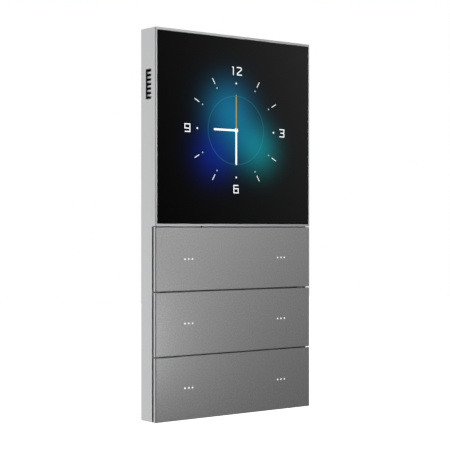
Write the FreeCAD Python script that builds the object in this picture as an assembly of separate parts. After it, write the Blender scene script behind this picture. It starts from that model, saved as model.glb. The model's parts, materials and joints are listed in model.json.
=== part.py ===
"""Wall-mounted touch panel: a thin aluminium housing with a square glass display above three rocker keys.

Frame, in millimetres: +Z is up, the front faces -Y and +X is to the right seen from the front.
The origin is the centre of the face that lies on the wall.
Depths are measured back from the housing's front plane, so the wall face is at depth PANEL_DEPTH,
and larger depths lie inside the wall box.
Spans such as (low, high) give a piece's extent along one axis.
"""

import FreeCAD, Part
import os
from FreeCAD import Vector

# Outside of the housing
PANEL_WIDTH = 86.0
PANEL_HEIGHT = 165.0
PANEL_DEPTH = 10.8
WALL = 1.3
EDGE_BREAK = 0.22
FIT = 0.3

# Rocker keys
KEY_COUNT = 3
KEY_PITCH = 27.3
KEY_GAP = 0.45
TOP_GAP = 0.3
CAP_THICKNESS = 1.5
CAP_EDGE = 0.25
BED_FRONT = 3.3
SIDE_FRONT = 2.65
LIP = 0.45
LIP_END = 4.2
KEY_WINDOW = (72.0, 20.0)
LEGEND_X = 25.8
LEGEND_PITCH = 2.0
LEGEND_RADIUS = 0.42
GUIDE_BAR = (5.6, 1.8)
GUIDE_BAR_END = 2.5
CARRIER = (70.0, 18.0)
CARRIER_BACK = 2.7
CARRIER_BOSS = (3.0, 4.6)
CARRIER_BOSS_END = 5.5
CARRIER_BOSS_OFFSET = 7.3
STIFFENER = (68.0, 1.0)
STIFFENER_END = 3.5
STIFFENER_OFFSET = 8.3
PRESS_X = 32.0
PRESS_RIB = (2.4, 5.0)
PRESS_RIB_END = 4.6
DOME_SHEET = 7.0
DOME_SHEET_THICKNESS = 0.3
DOME_RADII = (1.8, 2.9)
DOME_WALL = 0.5
DOME_CROWN = 0.8
DOME_GAP = 0.05

# Rocker pivots
PIN_RADIUS = 0.6
PIN_CLEARANCE = 0.04
PIN_DEPTH = 4.4
PIN_THROAT = 1.0
PIN_SEAT = 2.0

# Display stack, from the glass backwards
GLASS = (84.3, 80.9)
GLASS_CORNER = 0.6
GLASS_DEPTHS = (-0.2, 0.9)
GLASS_EDGE = 0.15
GLASS_GAP = 0.1
LEDGE_DEPTHS = (1.2, 2.4)
LEDGE_OPENING = (77.0, 78.4)
TOUCH_SENSOR = (76.6, 78.0)
TRAY = (76.5, 77.9)
TRAY_SHEET = 0.25
TRAY_DEPTHS = (1.7, 4.6)
LCD_DEPTHS = (1.4, 2.7)
BACKLIGHT_DEPTHS = (3.0, 4.3)
LCD_FLEX_X = (-11.0, 11.0)
LCD_FLEX_Z = 1.2
LCD_FLEX_SHEET = 0.2
TRAY_SLOT_DEPTHS = (2.5, 3.1)
TOUCH_FLEX_X = (-30.0, -22.0)
TOUCH_FLEX_SHEET = 0.15

# Inner chassis and circuit boards
FLANGE_DEPTHS = (5.0, 6.0)
FLANGE_OPENINGS_X = ((-26.0, -3.0), (3.0, 26.0))
FLANGE_OPENINGS_Z = ((12.0, 36.0), (44.0, 66.0))
LEAD_SLOT_X = (-31.0, 12.0)
LEAD_SLOT_Z = (0.9, 2.3)
MAIN_BOARD_DEPTHS = (6.6, 7.4)
KEY_BOARD_DEPTHS = (6.9, 7.9)
BOARD_HALF_WIDTH = 36.5
MAIN_BOARD_Z = (3.0, 75.0)
KEY_BOARD_Z = (-77.0, 0.6)
CONNECTOR_Z = 5.0
SHIELD = (25.0, 17.0)
SHIELD_PLACE = (-1.5, 25.0)
SHIELD_SHEET = 0.2
SHIELD_HEIGHT = 1.1
LINK_LEAD_X = (15.0, 29.0)
LINK_LEAD_DEPTHS = (8.0, 8.15)
LINK_LEAD_Z = 9.0
LAMP = (1.6, 0.8)
LAMP_HEIGHT = 0.6

# Rear cover
COVER_DEPTHS = (8.6, 9.7)
COVER_RIB_END = 10.6
COVER_RIB = 0.8
COVER_SLOTS = 6
COVER_SLOT = (1.5, 13.0)
COVER_SLOT_PITCH = 3.2
COVER_SLOT_PLACE = (24.5, 57.0)
HOOK_SLOT = (9.0, 4.5)
HOOK_SLOT_Z = 37.25
LOCK_NOTCH = (14.0, 3.6)

# Compartment that enters the wall box, clipped into the rear cover
CASE = (50.0, 48.0)
CASE_CORNER = 2.0
CASE_WALL = 1.5
CASE_DEPTHS = (8.1, 30.3)
CASE_SHOULDER = 0.3
CASE_CLIP = (0.7, 4.0)
CASE_CLIP_Z = 15.5
POWER_BOARD = (44.0, 42.0)
POWER_BOARD_DEPTHS = (19.0, 20.6)
INDUCTOR_PLACE = (-10.0, 10.0)
INDUCTOR_RADII = (4.6, 5.8)
INDUCTOR_HEIGHT = 6.0
CAPACITOR_PLACES = [(5.0, 10.0), (13.0, 10.0)]
CAPACITOR = (3.15, 7.0)

# Board-to-board link and bus terminal
LINK_PINS = 7
LINK_PITCH = 2.54
LINK_Z = -16.0
LINK_STRIP = 2.5
LINK_PIN = 0.64
LINK_HOLE = 0.8
HEADER_DEPTHS = (16.5, POWER_BOARD_DEPTHS[0])
LINK_PIN_TIP = 10.5
LINK_HOLE_END = 9.0
TERMINAL = (5.75, 12.0)
TERMINAL_Z = -8.0
TERMINAL_DEPTHS = (20.8, 30.1)
TERMINAL_WINDOW = (11.9, 12.4)
WIRE_HOLE_RADIUS = 0.6
WIRE_HOLES = [(x, z) for x in (-1.4, 1.4) for z in (-3.6, 3.6)]
WIRE_HOLE_START = 25.0
BUS_PIN_RADIUS = 0.5
BUS_PIN_TIP = 27.0

# Wall bracket and its fixing holes
BRACKET_DEPTHS = (9.8, PANEL_DEPTH)
BRACKET_FRAME = (70.0, 78.0)
BRACKET_CORNER = 4.0
BRACKET_OPENING_MARGIN = 1.0
BRACKET_ARM_WIDTH = 24.0
BRACKET_ARM_REACH = 66.0
BRACKET_TONGUE_WIDTH = 10.0
BRACKET_TONGUE_END = -80.3
BRACKET_TAB = (6.2, 1.5)
BOX_SCREW_SPACING = 60.3
BOX_SCREW_SLOT = (2.1, 6.8)
PLUG_SCREW_SPACING = 110.0
PLUG_SCREW_RADIUS = 2.2
HOOK_X = 15.0
HOOK_WIDTH = 7.0
HOOK_Z = (35.5, 36.5, 39.0)
HOOK_FRONT = 7.7
HOOK_LIP = 0.75
LOCK_DEPTH = 7.5
LOCK_RADIUS = 1.25
LOCK_HEAD_RADIUS = 2.2
LOCK_HEAD_HEIGHT = 0.95
LOCK_CLEARANCE = 0.2

# Vent in the left wall
VENT_Z = 59.0
VENT_HEIGHT = 12.7
VENT_DEPTHS = (3.25, 7.2)
VENT_RIBS = 6
VENT_PITCH = 1.89
VENT_RIB_HEIGHT = 0.8
VENT_RECESS = 0.45
VENT_LINER = 0.3
VENT_FLANGE = (0.5, 0.75)
VENT_NOTCH = (38.5, 18.0)
SENSOR_BOARD_X = (-39.9, -39.1)
SENSOR_BOARD_DEPTHS = (5.0, 8.3)
SENSOR_BOARD_HEIGHT = 16.0
SENSOR_CHIP = 2.0

# Small screws: shank radius, head radius, head height
CHASSIS_SCREW = (0.8, 1.6, 0.9)
COVER_SCREW = (0.8, 1.6, 0.8)
BOARD_SCREW = (0.7, 1.4, 0.6)
CHASSIS_BOSS_RADIUS = 1.6
CHASSIS_SCREW_X = 40.0
CHASSIS_SCREW_Z = (77.5, 30.0, -28.0, -77.0)
CHASSIS_TIP = 4.0
COVER_POST_RADIUS = 1.9
COVER_SCREW_X = 38.9
COVER_SCREW_Z = (70.0, 8.0, -45.0, -68.0)
BOARD_BOSS_RADIUS = 1.8
MAIN_SCREW_PLACES = [(x, z) for x in (-33.0, 33.0) for z in (8.0, 70.0)]
KEY_SCREW_PLACES = [(x, z) for x in (-20.0, 20.0) for z in (-28.1, -55.4)]
POWER_SCREW_PLACES = [(x, z) for x in (-19.5, 19.5) for z in (-18.5, 18.5)]

# Reset button behind its pinhole
RESET_X = -19.0
NOTCH_RADIUS = 0.35
PINHOLE_RADIUS = 0.45
PLUNGER_RADIUS = 0.8
PLUNGER_CLEARANCE = 0.05
PLUNGER_DEPTHS = (4.1, 6.05)
PLUNGER_FLANGE = (1.3, 0.3)
SWITCH_SIZE = 3.2
SWITCH_HEIGHT = 0.25

# Places worked out from the above
HALF_W = PANEL_WIDTH / 2
TOP = PANEL_HEIGHT / 2
BOTTOM = -TOP
KEY_ZONE_TOP = BOTTOM + KEY_COUNT * KEY_PITCH
DISPLAY_Z = (KEY_ZONE_TOP + TOP) / 2
CAVITY_X = HALF_W - WALL
CAVITY_Z = TOP - WALL
INNER_X = CAVITY_X - FIT
INNER_Z = CAVITY_Z - FIT
RESET_Z = KEY_ZONE_TOP - TOP_GAP / 2

# How far a cutter runs past a face, and the smallest height that isn't flat
THROUGH = 0.5
FLAT = 1e-6


def around(centre, size):
    """The span of a given size about a centre."""
    return (centre - size / 2, centre + size / 2)


def block(x, depth, z):
    """A box from its spans across, behind the front plane and up."""
    corner = Vector(x[0], depth[0] - PANEL_DEPTH, z[0])
    return Part.makeBox(x[1] - x[0], depth[1] - depth[0], z[1] - z[0], corner)


def slab(size, depth, x=0.0, z=0.0):
    """A box of a given width and height about a centre, over a span of depths."""
    return block(around(x, size[0]), depth, around(z, size[1]))


def rounded(size, depth, radius, x=0.0, z=0.0):
    """A slab whose four corners are round."""
    shape = slab(size, depth, x, z)
    corners = [e for e in shape.Edges if abs(e.Vertexes[0].Y - e.Vertexes[1].Y) > FLAT]
    return shape.makeFillet(radius, corners)


def rod(radius, depth, x, z):
    """A cylinder along the depth."""
    start = Vector(x, depth[0] - PANEL_DEPTH, z)
    return Part.makeCylinder(radius, depth[1] - depth[0], start, Vector(0, 1, 0))


def rod_up(radius, x, depth, z):
    """A cylinder along Z."""
    start = Vector(x, depth - PANEL_DEPTH, z[0])
    return Part.makeCylinder(radius, z[1] - z[0], start, Vector(0, 0, 1))


def taper(radii, depth, x, z):
    """A cone along the depth, from the first radius to the second."""
    start = Vector(x, depth[0] - PANEL_DEPTH, z)
    return Part.makeCone(radii[0], radii[1], depth[1] - depth[0], start, Vector(0, 1, 0))


def frame(outer, inner, depth, z=0.0):
    """A rectangular ring."""
    return slab(outer, depth, z=z).cut(slab(inner, (depth[0] - THROUGH, depth[1] + THROUGH), z=z))


def fuse(pieces):
    """One solid from several that meet."""
    whole = pieces[0].fuse(pieces[1:]) if len(pieces) > 1 else pieces[0]
    return whole.removeSplitter()


def group(pieces):
    """Separate solids that share one node."""
    return Part.makeCompound(pieces)


def edges_at_depth(shape, depth):
    """The edges that lie wholly at one depth."""
    y = depth - PANEL_DEPTH
    return [e for e in shape.Edges if max(abs(v.Y - y) for v in e.Vertexes) < FLAT]


def screw(kind, head_from, tip, x, z):
    """A pan-head screw along the depth. The head stands on the side away from the tip."""
    shank, head, height = kind
    back = 1 if head_from > tip else -1
    top = head_from + back * height
    body = rod(shank, sorted((head_from, tip)), x, z)
    cap = rod(head, sorted((head_from, top)), x, z)
    socket = rod(shank * 0.8, sorted((top - back * height * 0.6, top)), x, z)
    return fuse([body, cap]).cut(socket)


def both_sides(x, heights):
    """The places at plus and minus x, at each height."""
    return [(side * x, z) for z in heights for side in (-1, 1)]


def key_centre(number):
    """The height of a key's centre. Key 1 is the highest."""
    return KEY_ZONE_TOP - KEY_GAP - (number - 1) * KEY_PITCH - (KEY_PITCH - KEY_GAP) / 2


# ---------------------------------------------------------------- housing and vent


def housing():
    """The aluminium shell: a glass pocket and ledge above, and a thin lip round the keys' open space."""
    shell = slab((PANEL_WIDTH, PANEL_HEIGHT), (0, PANEL_DEPTH))
    shell = shell.makeChamfer(EDGE_BREAK, shell.Edges)
    key_zone = (BOTTOM - THROUGH, KEY_ZONE_TOP)
    pocket = tuple(size + 2 * GLASS_GAP for size in GLASS)
    inside_lip = (LIP - HALF_W, HALF_W - LIP)
    cuts = [
        block((-HALF_W - THROUGH, HALF_W + THROUGH), (-THROUGH, SIDE_FRONT), key_zone),
        block(inside_lip, (0, LIP_END), (BOTTOM + LIP, KEY_ZONE_TOP)),
        slab(pocket, (-THROUGH, LEDGE_DEPTHS[0]), z=DISPLAY_Z),
        slab(LEDGE_OPENING, (0, PANEL_DEPTH), z=DISPLAY_Z),
        slab((2 * CAVITY_X, 2 * CAVITY_Z), (LEDGE_DEPTHS[1], PANEL_DEPTH + THROUGH)),
        block((-HALF_W - THROUGH, -CAVITY_X + THROUGH), VENT_DEPTHS, around(VENT_Z, VENT_HEIGHT)),
        lock_screw_hole(),
        rod(NOTCH_RADIUS, (-THROUGH, LEDGE_DEPTHS[1] + THROUGH), RESET_X, RESET_Z),
    ]
    shell = shell.cut(cuts)
    bosses = [chassis_boss(x, z) for x, z in both_sides(CHASSIS_SCREW_X, CHASSIS_SCREW_Z)]
    return fuse([shell] + bosses)


def chassis_boss(x, z):
    """A threaded post that grows out of the side wall and, by the display, out of the ledge."""
    front = LEDGE_DEPTHS[1] - 0.2 if z > KEY_ZONE_TOP else LEDGE_DEPTHS[1] + 1.0
    post = rod(CHASSIS_BOSS_RADIUS, (front, FLANGE_DEPTHS[0]), x, z)
    web_x = sorted((x, (HALF_W - WALL / 2) * (1 if x > 0 else -1)))
    web = block(web_x, (front, FLANGE_DEPTHS[0]), around(z, 2 * CHASSIS_BOSS_RADIUS))
    hole = rod(CHASSIS_SCREW[0], (front + 0.5, FLANGE_DEPTHS[0] + THROUGH), x, z)
    return fuse([post, web]).cut(hole)


def lock_screw_hole():
    """The countersunk hole in the bottom wall."""
    radius = LOCK_RADIUS + LOCK_CLEARANCE
    bore = rod_up(radius, 0, LOCK_DEPTH, (BOTTOM - THROUGH, BOTTOM + WALL + THROUGH))
    start = Vector(0, LOCK_DEPTH - PANEL_DEPTH, BOTTOM)
    wide = LOCK_HEAD_RADIUS + LOCK_CLEARANCE
    sink = Part.makeCone(wide, radius, LOCK_HEAD_HEIGHT, start, Vector(0, 0, 1))
    return bore.fuse(sink)


def vent_duct():
    """The black liner of the vent: its rear side, its two ends and a flange inside the wall."""
    outer_face = -HALF_W + 0.05
    rear = (VENT_DEPTHS[1] - VENT_LINER, VENT_DEPTHS[1])
    top, bottom = VENT_Z + VENT_HEIGHT / 2, VENT_Z - VENT_HEIGHT / 2
    sleeve_x = (outer_face, -CAVITY_X)
    thickness, margin = VENT_FLANGE
    flange_x = (-CAVITY_X, -CAVITY_X + thickness)
    flange_depths = (VENT_DEPTHS[0] - margin, VENT_DEPTHS[1] + margin)
    flange = block(flange_x, flange_depths, (bottom - margin, top + margin))
    opening = block(
        (flange_x[0] - THROUGH, flange_x[1] + THROUGH),
        (VENT_DEPTHS[0], rear[0]),
        (bottom + VENT_LINER, top - VENT_LINER),
    )
    sleeve = [
        block(sleeve_x, rear, (bottom, top)),
        block(sleeve_x, VENT_DEPTHS, (top - VENT_LINER, top)),
        block(sleeve_x, VENT_DEPTHS, (bottom, bottom + VENT_LINER)),
    ]
    return fuse([flange.cut(opening)] + sleeve)


def vent_grille():
    """The aluminium comb set back in the vent: six ribs on a rail along its front side."""
    x = (-HALF_W + VENT_RECESS, -CAVITY_X)
    inside = (VENT_DEPTHS[0], VENT_DEPTHS[1] - VENT_LINER)
    half = VENT_HEIGHT / 2 - VENT_LINER
    rail = block(x, (inside[0], inside[0] + VENT_LINER), (VENT_Z - half, VENT_Z + half))
    ribs = []
    for i in range(VENT_RIBS):
        z = VENT_Z + (i - (VENT_RIBS - 1) / 2) * VENT_PITCH
        ribs.append(block(x, inside, around(z, VENT_RIB_HEIGHT)))
    return fuse([rail] + ribs)


def sensor_board():
    """The small board that stands behind the vent."""
    return block(SENSOR_BOARD_X, SENSOR_BOARD_DEPTHS, around(VENT_Z, SENSOR_BOARD_HEIGHT))


def temperature_sensor():
    """The sensor chip on the vent side of its board."""
    x = (SENSOR_BOARD_X[0] - SENSOR_CHIP / 2, SENSOR_BOARD_X[0])
    middle = sum(VENT_DEPTHS) / 2
    return block(x, around(middle + SENSOR_CHIP / 2, SENSOR_CHIP), around(VENT_Z, SENSOR_CHIP))


def sensor_flex():
    """The flat lead from the sensor board onto the main board."""
    rear = MAIN_BOARD_DEPTHS[1]
    x = (SENSOR_BOARD_X[1], -BOARD_HALF_WIDTH + 2 * SENSOR_CHIP)
    return block(x, (rear, rear + TOUCH_FLEX_SHEET), around(VENT_Z, 2 * SENSOR_CHIP))


# ---------------------------------------------------------------- display


def glass_lens():
    """The cover glass, a little proud of its rim, with a ground edge."""
    lens = rounded(GLASS, GLASS_DEPTHS, GLASS_CORNER, z=DISPLAY_Z)
    return lens.makeChamfer(GLASS_EDGE, edges_at_depth(lens, GLASS_DEPTHS[0]))


def lens_gasket():
    """The adhesive foam ring between the glass and the ledge."""
    outer = (GLASS[0] - 0.4, GLASS[1] - 0.4)
    inner = (LEDGE_OPENING[0] + 0.4, LEDGE_OPENING[1] + 0.4)
    return frame(outer, inner, (GLASS_DEPTHS[1], LEDGE_DEPTHS[0]), z=DISPLAY_Z)


def touch_sensor():
    """The touch layer bonded to the back of the glass."""
    return slab(TOUCH_SENSOR, (GLASS_DEPTHS[1], LCD_DEPTHS[0]), z=DISPLAY_Z)


def lcd_panel():
    """The liquid-crystal cell."""
    inside = tuple(size - 2 * TRAY_SHEET - 0.1 for size in TRAY)
    return slab(inside, LCD_DEPTHS, z=DISPLAY_Z)


def backlight_unit():
    """The light guide and its diffusers behind the cell."""
    inside = tuple(size - 2 * TRAY_SHEET - 0.1 for size in TRAY)
    return slab(inside, BACKLIGHT_DEPTHS, z=DISPLAY_Z)


def lcd_bezel():
    """The sheet-metal tray that holds the cell and the backlight, slotted for the display's lead."""
    inside = tuple(size - 2 * TRAY_SHEET for size in TRAY)
    tray = slab(TRAY, TRAY_DEPTHS, z=DISPLAY_Z)
    hollow = slab(inside, (TRAY_DEPTHS[0] - THROUGH, TRAY_DEPTHS[1] - TRAY_SHEET), z=DISPLAY_Z)
    bottom = DISPLAY_Z - TRAY[1] / 2
    slot_x = (LCD_FLEX_X[0] - THROUGH, LCD_FLEX_X[1] + THROUGH)
    slot = block(slot_x, TRAY_SLOT_DEPTHS, around(bottom, 3 * TRAY_SHEET))
    return tray.cut([hollow, slot])


def flat_lead(x, z_low, sheet, starts, z_end):
    """A flat flexible lead that runs back under the main board and up behind it.

    starts holds the depth where it begins and, if it turns up there too, that stretch's top.
    """
    rear = MAIN_BOARD_DEPTHS[1] + 0.2
    run = block(x, (starts[0], rear + sheet), (z_low, z_low + sheet))
    rise = block(x, (rear, rear + sheet), (z_low, z_end))
    pieces = [run, rise]
    if starts[1] is not None:
        pieces.append(block(x, (starts[0], starts[0] + sheet), (z_low, starts[1])))
    return fuse(pieces)


def lcd_flex():
    """The display's lead: out of the tray's slot, back, and up to its connector."""
    start = LCD_DEPTHS[1] + 0.05
    return flat_lead(LCD_FLEX_X, LCD_FLEX_Z, LCD_FLEX_SHEET, (start, LCD_FLEX_Z + 4.8), CONNECTOR_Z)


def touch_flex():
    """The touch layer's lead, just under the tray."""
    sensor_bottom = DISPLAY_Z - TOUCH_SENSOR[1] / 2
    low = sensor_bottom - TOUCH_FLEX_SHEET
    return flat_lead(TOUCH_FLEX_X, low, TOUCH_FLEX_SHEET, (GLASS_DEPTHS[1] + 0.1, None), CONNECTOR_Z)


# ---------------------------------------------------------------- chassis and boards


def mid_frame():
    """The moulded chassis: a flange behind everything, and the bed that carries the rocker keys."""
    flange = slab((2 * INNER_X, 2 * INNER_Z), FLANGE_DEPTHS)
    bed = block((-INNER_X, INNER_X), (BED_FRONT, FLANGE_DEPTHS[0]), (-INNER_Z, KEY_ZONE_TOP + 1.3))
    posts = [rod(COVER_POST_RADIUS, (FLANGE_DEPTHS[0], COVER_DEPTHS[0]), x, z)
             for x, z in both_sides(COVER_SCREW_X, COVER_SCREW_Z)]
    posts += [rod(BOARD_BOSS_RADIUS, (FLANGE_DEPTHS[0], MAIN_BOARD_DEPTHS[0]), x, z)
              for x, z in MAIN_SCREW_PLACES]
    posts += [rod(BOARD_BOSS_RADIUS, (FLANGE_DEPTHS[0], KEY_BOARD_DEPTHS[0]), x, z)
              for x, z in KEY_SCREW_PLACES]
    cuts = [boss_pocket(x, z) for x, z in both_sides(CHASSIS_SCREW_X, CHASSIS_SCREW_Z)]
    cuts += [rod(CHASSIS_SCREW[0] + 0.2, (FLANGE_DEPTHS[0] - THROUGH, FLANGE_DEPTHS[1] + THROUGH), x, z)
             for x, z in both_sides(CHASSIS_SCREW_X, CHASSIS_SCREW_Z)]
    cuts += [rod(COVER_SCREW[0], (FLANGE_DEPTHS[0] + 0.2, COVER_DEPTHS[0] + THROUGH), x, z)
             for x, z in both_sides(COVER_SCREW_X, COVER_SCREW_Z)]
    cuts += [rod(BOARD_SCREW[0], (FLANGE_DEPTHS[0] + 0.2, COVER_DEPTHS[0]), x, z)
             for x, z in MAIN_SCREW_PLACES + KEY_SCREW_PLACES]
    for number in range(1, KEY_COUNT + 1):
        cuts += key_cuts(number)
    cuts += reset_cuts() + display_cuts()
    return fuse([flange, bed] + posts).cut(cuts).removeSplitter()


def boss_pocket(x, z):
    """Room in the bed for one of the housing's posts."""
    reach = sorted(((CHASSIS_SCREW_X - CHASSIS_BOSS_RADIUS - FIT) * (1 if x > 0 else -1),
                    (INNER_X + THROUGH) * (1 if x > 0 else -1)))
    height = 2 * (CHASSIS_BOSS_RADIUS + FIT)
    return block(reach, (LEDGE_DEPTHS[1], FLANGE_DEPTHS[0]), around(z, height))


def key_cuts(number):
    """One rocker's window, and the snap-in seats for its pivot pin above and below the window."""
    z = key_centre(number)
    deep = (BED_FRONT - THROUGH, FLANGE_DEPTHS[1] + THROUGH)
    pin_span = around(z, KEY_WINDOW[1] + 2 * PIN_SEAT)
    return [
        slab(KEY_WINDOW, deep, z=z),
        rod_up(PIN_RADIUS, 0, PIN_DEPTH, pin_span),
        block(around(0, PIN_THROAT), (BED_FRONT - THROUGH, PIN_DEPTH), pin_span),
    ]


def reset_cuts():
    """The pinhole, and the plunger's guide behind it."""
    guide_radius = PLUNGER_RADIUS + PLUNGER_CLEARANCE
    return [
        rod(PINHOLE_RADIUS, (BED_FRONT - THROUGH, 4.2), RESET_X, RESET_Z),
        rod(guide_radius, (4.0, FLANGE_DEPTHS[1] + THROUGH), RESET_X, RESET_Z),
    ]


def display_cuts():
    """Slots for the flat leads, a notch for the vent and openings that lighten the flange."""
    deep = (FLANGE_DEPTHS[0] - THROUGH, FLANGE_DEPTHS[1] + THROUGH)
    notch = block((-INNER_X - THROUGH, -VENT_NOTCH[0]), deep, around(VENT_Z, VENT_NOTCH[1]))
    openings = [block(x, deep, z) for x in FLANGE_OPENINGS_X for z in FLANGE_OPENINGS_Z]
    return [notch, block(LEAD_SLOT_X, deep, LEAD_SLOT_Z)] + openings


def main_board():
    """The processor board behind the display."""
    board = block((-BOARD_HALF_WIDTH, BOARD_HALF_WIDTH), MAIN_BOARD_DEPTHS, MAIN_BOARD_Z)
    return board.cut(screw_holes(BOARD_SCREW, MAIN_BOARD_DEPTHS, MAIN_SCREW_PLACES))


def key_board():
    """The board under the keys, which carries their contacts and lamps."""
    board = block((-BOARD_HALF_WIDTH, BOARD_HALF_WIDTH), KEY_BOARD_DEPTHS, KEY_BOARD_Z)
    return board.cut(screw_holes(BOARD_SCREW, KEY_BOARD_DEPTHS, KEY_SCREW_PLACES))


def screw_holes(kind, depths, places):
    """Clearance holes through a plate."""
    deep = (depths[0] - THROUGH, depths[1] + THROUGH)
    return [rod(kind[0] + 0.15, deep, x, z) for x, z in places]


def board_chips():
    """The chips on the main board's rear: size across and up, then centre, then height."""
    rear = MAIN_BOARD_DEPTHS[1]
    chips = [
        (12.0, 12.0, SHIELD_PLACE[0] - 5.5, SHIELD_PLACE[1], 0.8),
        (8.0, 9.0, SHIELD_PLACE[0] + 7.0, SHIELD_PLACE[1], 0.8),
        (7.0, 6.0, 26.0, 24.0, 0.9),
        (5.0, 5.0, -26.0, 22.0, 0.9),
        (4.0, 4.0, -27.0, 34.0, 0.8),
        (6.0, 5.0, 22.0, 52.0, 0.9),
        (3.2, 2.5, -20.0, 55.0, 0.7),
    ]
    return group([slab((w, h), (rear, rear + tall), x=x, z=z) for w, h, x, z, tall in chips])


def processor_shield():
    """The tinned can over the processor and its memory."""
    rear = MAIN_BOARD_DEPTHS[1]
    inside = tuple(size - 2 * SHIELD_SHEET for size in SHIELD)
    can = slab(SHIELD, (rear, rear + SHIELD_HEIGHT), *SHIELD_PLACE)
    hollow = slab(inside, (rear - THROUGH, rear + SHIELD_HEIGHT - SHIELD_SHEET), *SHIELD_PLACE)
    return can.cut(hollow)


def flex_connectors():
    """The connectors that take the flat leads, on both boards."""
    main_rear = (MAIN_BOARD_DEPTHS[1], MAIN_BOARD_DEPTHS[1] + 1.0)
    key_rear = (KEY_BOARD_DEPTHS[1], KEY_BOARD_DEPTHS[1] + 0.6)
    leads = [
        (LCD_FLEX_X, main_rear, (CONNECTOR_Z, CONNECTOR_Z + 4.0)),
        (TOUCH_FLEX_X, main_rear, (CONNECTOR_Z, CONNECTOR_Z + 3.5)),
        (LINK_LEAD_X, main_rear, (LINK_LEAD_Z, LINK_LEAD_Z + 3.0)),
        (LINK_LEAD_X, key_rear, (-LINK_LEAD_Z - 3.0, -LINK_LEAD_Z)),
    ]
    return group([block((x[0] - 1, x[1] + 1), depth, z) for x, depth, z in leads])


def board_link():
    """The flat lead between the two boards."""
    return block(LINK_LEAD_X, LINK_LEAD_DEPTHS, (-LINK_LEAD_Z, LINK_LEAD_Z))


def board_screws():
    """The screws of the main, key and power boards."""
    flange_tip = FLANGE_DEPTHS[0] + 0.4
    screws = [screw(BOARD_SCREW, MAIN_BOARD_DEPTHS[1], flange_tip, x, z) for x, z in MAIN_SCREW_PLACES]
    screws += [screw(BOARD_SCREW, KEY_BOARD_DEPTHS[1], flange_tip, x, z) for x, z in KEY_SCREW_PLACES]
    power_tip = POWER_BOARD_DEPTHS[1] + 3.0
    screws += [screw(BOARD_SCREW, POWER_BOARD_DEPTHS[0], power_tip, x, z) for x, z in POWER_SCREW_PLACES]
    return group(screws)


def chassis_screws():
    """The screws that hold the chassis to the housing."""
    return group([screw(CHASSIS_SCREW, FLANGE_DEPTHS[1], CHASSIS_TIP, x, z)
                  for x, z in both_sides(CHASSIS_SCREW_X, CHASSIS_SCREW_Z)])


def key_leds():
    """The lamps behind the keys' legends."""
    lamp_depths = (KEY_BOARD_DEPTHS[0] - LAMP_HEIGHT, KEY_BOARD_DEPTHS[0])
    return group([slab(LAMP, lamp_depths, x=side * LEGEND_X, z=key_centre(number))
                  for number in range(1, KEY_COUNT + 1) for side in (-1, 1)])


def reset_switch():
    """The flat switch behind the reset plunger."""
    depths = (KEY_BOARD_DEPTHS[0] - SWITCH_HEIGHT, KEY_BOARD_DEPTHS[0])
    top = KEY_BOARD_Z[1]
    return block(around(RESET_X, SWITCH_SIZE), depths, (top - SWITCH_SIZE, top))


def reset_plunger():
    """The reset button's plunger, with the flange that keeps it in its guide."""
    radius, thickness = PLUNGER_FLANGE
    stem = rod(PLUNGER_RADIUS, PLUNGER_DEPTHS, RESET_X, RESET_Z)
    flange = rod(radius, (PLUNGER_DEPTHS[1], PLUNGER_DEPTHS[1] + thickness), RESET_X, RESET_Z)
    return fuse([stem, flange])


# ---------------------------------------------------------------- power compartment


def rear_cover():
    """The moulded back plate, with a rib round its edge and cooling slots."""
    outer = (2 * INNER_X, 2 * INNER_Z)
    rib_inside = tuple(size - 2 * COVER_RIB for size in outer)
    rib = frame(outer, rib_inside, (COVER_DEPTHS[1], COVER_RIB_END))
    case_opening = tuple(size + 0.1 for size in CASE)
    deep = (COVER_DEPTHS[0] - THROUGH, COVER_DEPTHS[1] + THROUGH)
    cuts = screw_holes(COVER_SCREW, COVER_DEPTHS, both_sides(COVER_SCREW_X, COVER_SCREW_Z))
    cuts += [rounded(case_opening, deep, CASE_CORNER), lock_tab_notch()] + hook_slots() + cooling_slots()
    return fuse([slab(outer, COVER_DEPTHS), rib]).cut(cuts)


def cooling_slots():
    """Four rows of slots, beside the bracket's arms."""
    deep = (COVER_DEPTHS[0] - THROUGH, COVER_DEPTHS[1] + THROUGH)
    slots = []
    for side, end in ((-1, -1), (-1, 1), (1, -1), (1, 1)):
        for i in range(COVER_SLOTS):
            x = side * COVER_SLOT_PLACE[0] + (i - (COVER_SLOTS - 1) / 2) * COVER_SLOT_PITCH
            radius = 0.49 * COVER_SLOT[0]
            slots.append(rounded(COVER_SLOT, deep, radius, x=x, z=end * COVER_SLOT_PLACE[1]))
    return slots


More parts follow.
